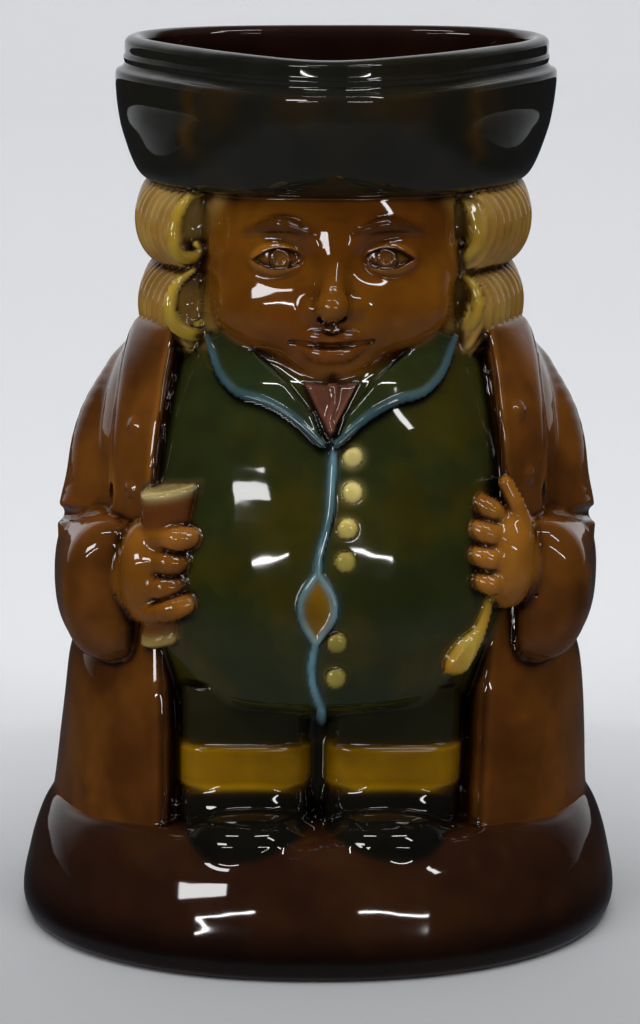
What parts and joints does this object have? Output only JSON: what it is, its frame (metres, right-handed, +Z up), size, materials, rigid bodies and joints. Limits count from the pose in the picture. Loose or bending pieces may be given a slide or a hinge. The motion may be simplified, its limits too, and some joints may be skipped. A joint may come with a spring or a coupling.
{
  "type": "toby jug",
  "caption": "Hollow figural jug shaped as a stout standing squire in a three-cornered hat that is its mouth, with a strap handle at the back.",
  "frame": {"origin": "centre of the flat underside of the round mound that the figure stands on", "axes": "+Z up through the open hat, -Y towards the figure's front, +Y towards the handle, +X towards the figure's left hand"},
  "size_m": [0.1046, 0.1139, 0.152],
  "materials": {
    "glaze": "thick glossy coloured glazes: brown coat and skin, green waistcoat, mustard hair and stockings, near-black hat and shoes"
  },
  "bodies": {
    "root": {"toby_jug": "glaze"}
  },
  "joints": []
}
